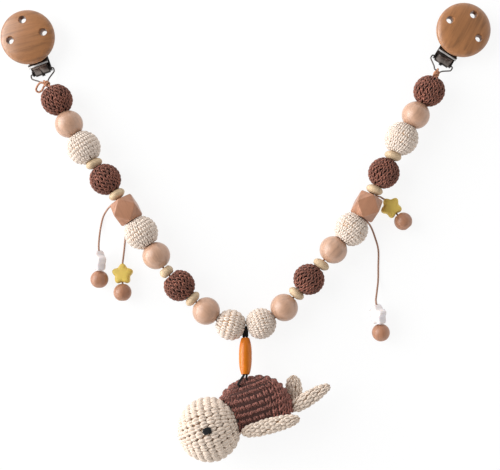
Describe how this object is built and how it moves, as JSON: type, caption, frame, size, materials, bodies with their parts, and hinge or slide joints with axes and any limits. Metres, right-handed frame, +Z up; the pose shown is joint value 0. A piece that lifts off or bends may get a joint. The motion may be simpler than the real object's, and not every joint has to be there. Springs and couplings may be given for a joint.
{
  "type": "pram chain toy",
  "caption": "Pushchair chain of crocheted and plain wooden beads on a waxed cord between two wooden-disc clips, with star pendants and a crocheted turtle.",
  "frame": {"origin": "centre of the whole outline, at table height", "axes": "+X to the right clip's side, +Y from the turtle towards the clips, +Z up from the table"},
  "size_m": [0.3158, 0.2923, 0.0414],
  "materials": {
    "oiled_beech": "natural beech, lightly oiled, satin",
    "pale_maple": "pale maple, satin",
    "brown_cotton": "mauve-brown crocheted cotton, matt",
    "cream_cotton": "cream crocheted cotton, matt",
    "clip_steel": "dark nickel-plated pressed steel",
    "jaw_plastic": "white moulded plastic",
    "caramel_cord": "caramel waxed cotton cord",
    "tan_cord": "tan waxed cotton cord",
    "black_cord": "black waxed cotton cord",
    "white_silicone": "white silicone, matt",
    "yellow_silicone": "yellow silicone, matt",
    "amber_lacquer": "turned wood in glossy amber lacquer",
    "black_yarn": "black cotton yarn"
  },
  "bodies": {
    "left_14": {"left_14_cream_crochet": "cream_cotton", "main_string": "caramel_cord"},
    "left_13": {"left_13_beech_ball": "oiled_beech"},
    "left_12": {"left_12_lens_spacer": "pale_maple"},
    "left_11": {"left_11_brown_crochet": "brown_cotton"},
    "left_10": {"left_10_barrel_spacer": "pale_maple"},
    "left_09": {"left_09_beech_ball": "oiled_beech"},
    "left_08": {"left_08_cream_crochet": "cream_cotton"},
    "left_07": {"left_07_facet_bead": "oiled_beech"},
    "left_06": {"left_06_lens_spacer": "pale_maple"},
    "left_05": {"left_05_brown_crochet": "brown_cotton"},
    "left_04": {"left_04_lens_spacer": "pale_maple"},
    "left_03": {"left_03_cream_crochet": "cream_cotton"},
    "left_02": {"left_02_beech_ball": "oiled_beech"},
    "left_01": {"left_01_brown_crochet": "brown_cotton"},
    "left_bail": {"left_clip_bail": "clip_steel"},
    "left_base": {"left_clip_base": "clip_steel", "left_clip_jaw_pad": "jaw_plastic"},
    "left_lever": {"left_clip_lever": "clip_steel", "left_clip_disc": "oiled_beech"},
    "right_14": {"right_14_cream_crochet": "cream_cotton"},
    "right_13": {"right_13_beech_ball": "oiled_beech"},
    "right_12": {"right_12_lens_spacer": "pale_maple"},
    "right_11": {"right_11_brown_crochet": "brown_cotton"},
    "right_10": {"right_10_lens_spacer": "pale_maple"},
    "right_09": {"right_09_beech_ball": "oiled_beech"},
    "right_08": {"right_08_cream_crochet": "cream_cotton"},
    "right_07": {"right_07_facet_bead": "oiled_beech"},
    "right_06": {"right_06_lens_spacer": "pale_maple"},
    "right_05": {"right_05_brown_crochet": "brown_cotton"},
    "right_04": {"right_04_lens_spacer": "pale_maple"},
    "right_03": {"right_03_cream_crochet": "cream_cotton"},
    "right_02": {"right_02_beech_ball": "oiled_beech"},
    "right_01": {"right_01_brown_crochet": "brown_cotton"},
    "right_bail": {"right_clip_bail": "clip_steel"},
    "right_base": {"right_clip_base": "clip_steel", "right_clip_jaw_pad": "jaw_plastic"},
    "right_lever": {"right_clip_lever": "clip_steel", "right_clip_disc": "oiled_beech"},
    "left_long_tail": {"left_long_tail_cord": "tan_cord"},
    "left_white_star_body": {"left_white_star": "white_silicone"},
    "left_long_tail_end": {"left_long_tail_end_bead": "oiled_beech"},
    "left_short_tail": {"left_short_tail_cord": "tan_cord"},
    "left_yellow_star_body": {"left_yellow_star": "yellow_silicone"},
    "left_short_tail_end": {"left_short_tail_end_bead": "oiled_beech"},
    "right_long_tail": {"right_long_tail_cord": "tan_cord"},
    "right_white_star_body": {"right_white_star": "white_silicone"},
    "right_long_tail_end": {"right_long_tail_end_bead": "oiled_beech"},
    "right_short_tail": {"right_short_tail_cord": "tan_cord"},
    "right_yellow_star_body": {"right_yellow_star": "yellow_silicone"},
    "right_short_tail_end": {"right_short_tail_end_bead": "oiled_beech"},
    "pendant": {"pendant_cord": "black_cord"},
    "long_bead": {"long_amber_bead": "amber_lacquer"},
    "turtle": {"turtle_shell": "brown_cotton", "turtle_head": "cream_cotton", "turtle_eyes": "black_yarn", "near_front_flipper": "cream_cotton", "far_front_flipper": "cream_cotton", "near_back_flipper": "cream_cotton", "far_back_flipper": "cream_cotton"}
  },
  "joints": [
    {"name": "left_13_bend", "type": "hinge", "parent": "left_14", "child": "left_13", "pos_m": [-0.01847, -0.05815, 0.0104], "axis": [0, 0, 1], "range_deg": [-4, 4], "deforming": ["main_string"]},
    {"name": "left_12_bend", "type": "hinge", "parent": "left_13", "child": "left_12", "pos_m": [-0.03175, -0.04619, 0.0104], "axis": [0, 0, 1], "range_deg": [-4, 4], "deforming": ["main_string"]},
    {"name": "left_11_bend", "type": "hinge", "parent": "left_12", "child": "left_11", "pos_m": [-0.03641, -0.04199, 0.0104], "axis": [0, 0, 1], "range_deg": [-4, 4], "deforming": ["main_string"]},
    {"name": "left_10_bend", "type": "hinge", "parent": "left_11", "child": "left_10", "pos_m": [-0.04878, -0.02918, 0.0104], "axis": [0, 0, 1], "range_deg": [-4, 4], "deforming": ["main_string"]},
    {"name": "left_09_bend", "type": "hinge", "parent": "left_10", "child": "left_09", "pos_m": [-0.05297, -0.02411, 0.0104], "axis": [0, 0, 1], "range_deg": [-4, 4], "deforming": ["main_string"]},
    {"name": "left_08_bend", "type": "hinge", "parent": "left_09", "child": "left_08", "pos_m": [-0.06181, -0.00878, 0.0104], "axis": [0, 0, 1], "range_deg": [-4, 4], "deforming": ["main_string"]},
    {"name": "left_07_bend", "type": "hinge", "parent": "left_08", "child": "left_07", "pos_m": [-0.0728, 0.00607, 0.0104], "axis": [0, 0, 1], "range_deg": [-4, 4], "deforming": ["main_string"]},
    {"name": "left_06_bend", "type": "hinge", "parent": "left_07", "child": "left_06", "pos_m": [-0.08075, 0.01984, 0.0104], "axis": [0, 0, 1], "range_deg": [-4, 4], "deforming": ["main_string"]},
    {"name": "left_05_bend", "type": "hinge", "parent": "left_06", "child": "left_05", "pos_m": [-0.08456, 0.0257, 0.0104], "axis": [0, 0, 1], "range_deg": [-4, 4], "deforming": ["main_string"]},
    {"name": "left_04_bend", "type": "hinge", "parent": "left_05", "child": "left_04", "pos_m": [-0.0959, 0.0397, 0.0104], "axis": [0, 0, 1], "range_deg": [-4, 4], "deforming": ["main_string"]},
    {"name": "left_03_bend", "type": "hinge", "parent": "left_04", "child": "left_03", "pos_m": [-0.09884, 0.04573, 0.0104], "axis": [0, 0, 1], "range_deg": [-4, 4], "deforming": ["main_string"]},
    {"name": "left_02_bend", "type": "hinge", "parent": "left_03", "child": "left_02", "pos_m": [-0.10942, 0.06029, 0.0104], "axis": [0, 0, 1], "range_deg": [-4, 4], "deforming": ["main_string"]},
    {"name": "left_01_bend", "type": "hinge", "parent": "left_02", "child": "left_01", "pos_m": [-0.1175, 0.07583, 0.0104], "axis": [0, 0, 1], "range_deg": [-4, 4], "deforming": ["main_string"]},
    {"name": "left_bail_swing", "type": "hinge", "parent": "left_01", "child": "left_bail", "pos_m": [-0.13, 0.0957, 0.006], "axis": [0, 0, 1], "range_deg": [-20, 20], "deforming": ["main_string"]},
    {"name": "left_bail_fold", "type": "hinge", "parent": "left_bail", "child": "left_base", "pos_m": [-0.13291, 0.10368, 0.002], "axis": [0.9397, 0.342, 0], "range_deg": [-60, 60]},
    {"name": "left_lever_lift", "type": "hinge", "parent": "left_base", "child": "left_lever", "pos_m": [-0.14249, 0.12999, 0.0042], "axis": [-0.9397, -0.342, 0], "range_deg": [0, 30]},
    {"name": "right_14_bend", "type": "hinge", "parent": "left_14", "child": "right_14", "pos_m": [0.00031, -0.06371, 0.0104], "axis": [0, 0, 1], "range_deg": [-4, 4], "deforming": ["main_string"]},
    {"name": "right_13_bend", "type": "hinge", "parent": "right_14", "child": "right_13", "pos_m": [0.01854, -0.05653, 0.0104], "axis": [0, 0, 1], "range_deg": [-4, 4], "deforming": ["main_string"]},
    {"name": "right_12_bend", "type": "hinge", "parent": "right_13", "child": "right_12", "pos_m": [0.03071, -0.04325, 0.0104], "axis": [0, 0, 1], "range_deg": [-4, 4], "deforming": ["main_string"]},
    {"name": "right_11_bend", "type": "hinge", "parent": "right_12", "child": "right_11", "pos_m": [0.03459, -0.0381, 0.0104], "axis": [0, 0, 1], "range_deg": [-4, 4], "deforming": ["main_string"]},
    {"name": "right_10_bend", "type": "hinge", "parent": "right_11", "child": "right_10", "pos_m": [0.04686, -0.02494, 0.0104], "axis": [0, 0, 1], "range_deg": [-4, 4], "deforming": ["main_string"]},
    {"name": "right_09_bend", "type": "hinge", "parent": "right_10", "child": "right_09", "pos_m": [0.05033, -0.01917, 0.0104], "axis": [0, 0, 1], "range_deg": [-4, 4], "deforming": ["main_string"]},
    {"name": "right_08_bend", "type": "hinge", "parent": "right_09", "child": "right_08", "pos_m": [0.06236, -0.00627, 0.0104], "axis": [0, 0, 1], "range_deg": [-4, 4], "deforming": ["main_string"]},
    {"name": "right_07_bend", "type": "hinge", "parent": "right_08", "child": "right_07", "pos_m": [0.07403, 0.00814, 0.0104], "axis": [0, 0, 1], "range_deg": [-4, 4], "deforming": ["main_string"]},
    {"name": "right_06_bend", "type": "hinge", "parent": "right_07", "child": "right_06", "pos_m": [0.08145, 0.0224, 0.0104], "axis": [0, 0, 1], "range_deg": [-4, 4], "deforming": ["main_string"]},
    {"name": "right_05_bend", "type": "hinge", "parent": "right_06", "child": "right_05", "pos_m": [0.08408, 0.02906, 0.0104], "axis": [0, 0, 1], "range_deg": [-4, 4], "deforming": ["main_string"]},
    {"name": "right_04_bend", "type": "hinge", "parent": "right_05", "child": "right_04", "pos_m": [0.0937, 0.04446, 0.0104], "axis": [0, 0, 1], "range_deg": [-4, 4], "deforming": ["main_string"]},
    {"name": "right_03_bend", "type": "hinge", "parent": "right_04", "child": "right_03", "pos_m": [0.09574, 0.05092, 0.0104], "axis": [0, 0, 1], "range_deg": [-4, 4], "deforming": ["main_string"]},
    {"name": "right_02_bend", "type": "hinge", "parent": "right_03", "child": "right_02", "pos_m": [0.10444, 0.06663, 0.0104], "axis": [0, 0, 1], "range_deg": [-4, 4], "deforming": ["main_string"]},
    {"name": "right_01_bend", "type": "hinge", "parent": "right_02", "child": "right_01", "pos_m": [0.1143, 0.08124, 0.0104], "axis": [0, 0, 1], "range_deg": [-4, 4], "deforming": ["main_string"]},
    {"name": "right_bail_swing", "type": "hinge", "parent": "right_01", "child": "right_bail", "pos_m": [0.12399, 0.10327, 0.006], "axis": [0, 0, 1], "range_deg": [-20, 20], "deforming": ["main_string"]},
    {"name": "right_bail_fold", "type": "hinge", "parent": "right_bail", "child": "right_base", "pos_m": [0.12856, 0.11044, 0.002], "axis": [0.8434, -0.5373, 0], "range_deg": [-60, 60]},
    {"name": "right_lever_lift", "type": "hinge", "parent": "right_base", "child": "right_lever", "pos_m": [0.1436, 0.13406, 0.0042], "axis": [-0.8434, 0.5373, 0], "range_deg": [0, 30]},
    {"name": "left_long_tail_swing", "type": "hinge", "parent": "left_07", "child": "left_long_tail", "pos_m": [-0.08075, 0.01984, 0.0104], "axis": [0, 0, 1], "range_deg": [-12, 2], "deforming": ["left_long_tail_cord", "main_string"]},
    {"name": "left_white_star_spin", "type": "hinge", "parent": "left_long_tail", "child": "left_white_star_body", "pos_m": [-0.09475, -0.01996, 0.0074], "axis": [0, -0.994, -0.1097], "continuous": true},
    {"name": "left_long_tail_end_spin", "type": "hinge", "parent": "left_long_tail", "child": "left_long_tail_end", "pos_m": [-0.09475, -0.03179, 0.00609], "axis": [0, -0.994, -0.1097], "continuous": true},
    {"name": "left_short_tail_swing", "type": "hinge", "parent": "left_07", "child": "left_short_tail", "pos_m": [-0.0728, 0.00607, 0.0104], "axis": [0, 0, 1], "range_deg": [-6, 6], "deforming": ["left_short_tail_cord", "main_string"]},
    {"name": "left_yellow_star_spin", "type": "hinge", "parent": "left_short_tail", "child": "left_yellow_star_body", "pos_m": [-0.08, -0.02853, 0.0043], "axis": [0.0173, -0.9896, 0.1426], "continuous": true},
    {"name": "left_short_tail_end_spin", "type": "hinge", "parent": "left_short_tail", "child": "left_short_tail_end", "pos_m": [-0.07979, -0.04031, 0.00599], "axis": [0.0173, -0.9896, 0.1426], "continuous": true},
    {"name": "right_long_tail_swing", "type": "hinge", "parent": "right_07", "child": "right_long_tail", "pos_m": [0.07403, 0.00814, 0.0104], "axis": [0, 0, 1], "range_deg": [-6, 10], "deforming": ["right_long_tail_cord", "main_string"]},
    {"name": "right_white_star_spin", "type": "hinge", "parent": "right_long_tail", "child": "right_white_star_body", "pos_m": [0.08563, -0.05466, 0.007], "axis": [0.1661, -0.9818, -0.0924], "continuous": true},
    {"name": "right_long_tail_end_spin", "type": "hinge", "parent": "right_long_tail", "child": "right_long_tail_end", "pos_m": [0.0876, -0.06634, 0.0059], "axis": [0.1661, -0.9818, -0.0924], "continuous": true},
    {"name": "right_short_tail_swing", "type": "hinge", "parent": "right_07", "child": "right_short_tail", "pos_m": [0.08145, 0.0224, 0.0104], "axis": [0, 0, 1], "range_deg": [-6, 10], "deforming": ["right_short_tail_cord", "main_string"]},
    {"name": "right_yellow_star_spin", "type": "hinge", "parent": "right_short_tail", "child": "right_yellow_star_body", "pos_m": [0.09456, 0.0148, 0.0043], "axis": [0.6318, -0.7609, 0.1478], "continuous": true},
    {"name": "right_short_tail_end_spin", "type": "hinge", "parent": "right_short_tail", "child": "right_short_tail_end", "pos_m": [0.10208, 0.00575, 0.00606], "axis": [0.6318, -0.7609, 0.1478], "continuous": true},
    {"name": "pendant_swing", "type": "hinge", "parent": "left_14", "child": "pendant", "pos_m": [0.00031, -0.06371, 0.0104], "axis": [0, 0, 1], "range_deg": [-15, 15], "deforming": ["pendant_cord", "main_string"]},
    {"name": "long_bead_spin", "type": "hinge", "parent": "pendant", "child": "long_bead", "pos_m": [-0.00014, -0.08041, 0.0145], "axis": [0, -0.9613, 0.2756], "continuous": true},
    {"name": "turtle_swing", "type": "hinge", "parent": "pendant", "child": "turtle", "pos_m": [-0.00014, -0.09185, 0.01778], "axis": [0, 0, 1], "range_deg": [-20, 20], "deforming": ["pendant_cord"]}
  ]
}
